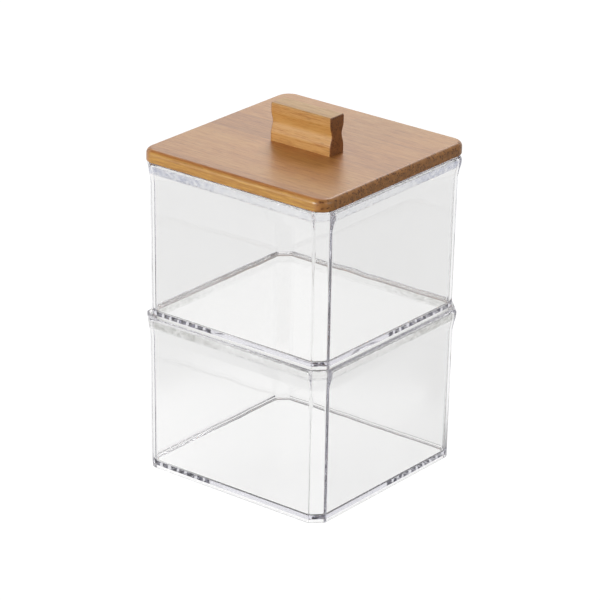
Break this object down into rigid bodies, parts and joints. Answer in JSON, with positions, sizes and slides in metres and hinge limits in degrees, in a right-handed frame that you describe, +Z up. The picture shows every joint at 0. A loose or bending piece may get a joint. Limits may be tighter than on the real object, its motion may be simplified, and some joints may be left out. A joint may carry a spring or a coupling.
{
  "type": "makeup organizer",
  "caption": "Clear square storage trays stacked on each other, the upper one closed by a flat bamboo lid with a short bar handle.",
  "frame": {"origin": "middle of the lower tray's rest face", "axes": "+Z up through the stack; -Y is the front; X runs along the handle's length"},
  "size_m": [0.1024, 0.1024, 0.1653],
  "materials": {
    "clear_plastic": "clear, polished, water-white",
    "bamboo_lid": "satin lacquered bamboo, fine grain along X",
    "bamboo_handle": "satin lacquered bamboo, fine grain along X",
    "bamboo_underside": "smooth bamboo, thin matt lacquer",
    "screw_steel": "zinc plated"
  },
  "bodies": {
    "lower": {"lower_tray": "clear_plastic"},
    "upper": {"upper_tray": "clear_plastic"},
    "lid": {"lid_plate": "bamboo_lid", "locating_board": "bamboo_underside", "handle": "bamboo_handle", "screw_left": "screw_steel", "screw_right": "screw_steel"}
  },
  "joints": [
    {"name": "upper_tray_lift", "type": "slide", "parent": "lower", "child": "upper", "axis": [0, 0, 1], "range_m": [0, 0.04]},
    {"name": "lid_lift", "type": "slide", "parent": "upper", "child": "lid", "axis": [0, 0, 1], "range_m": [0, 0.04]}
  ]
}
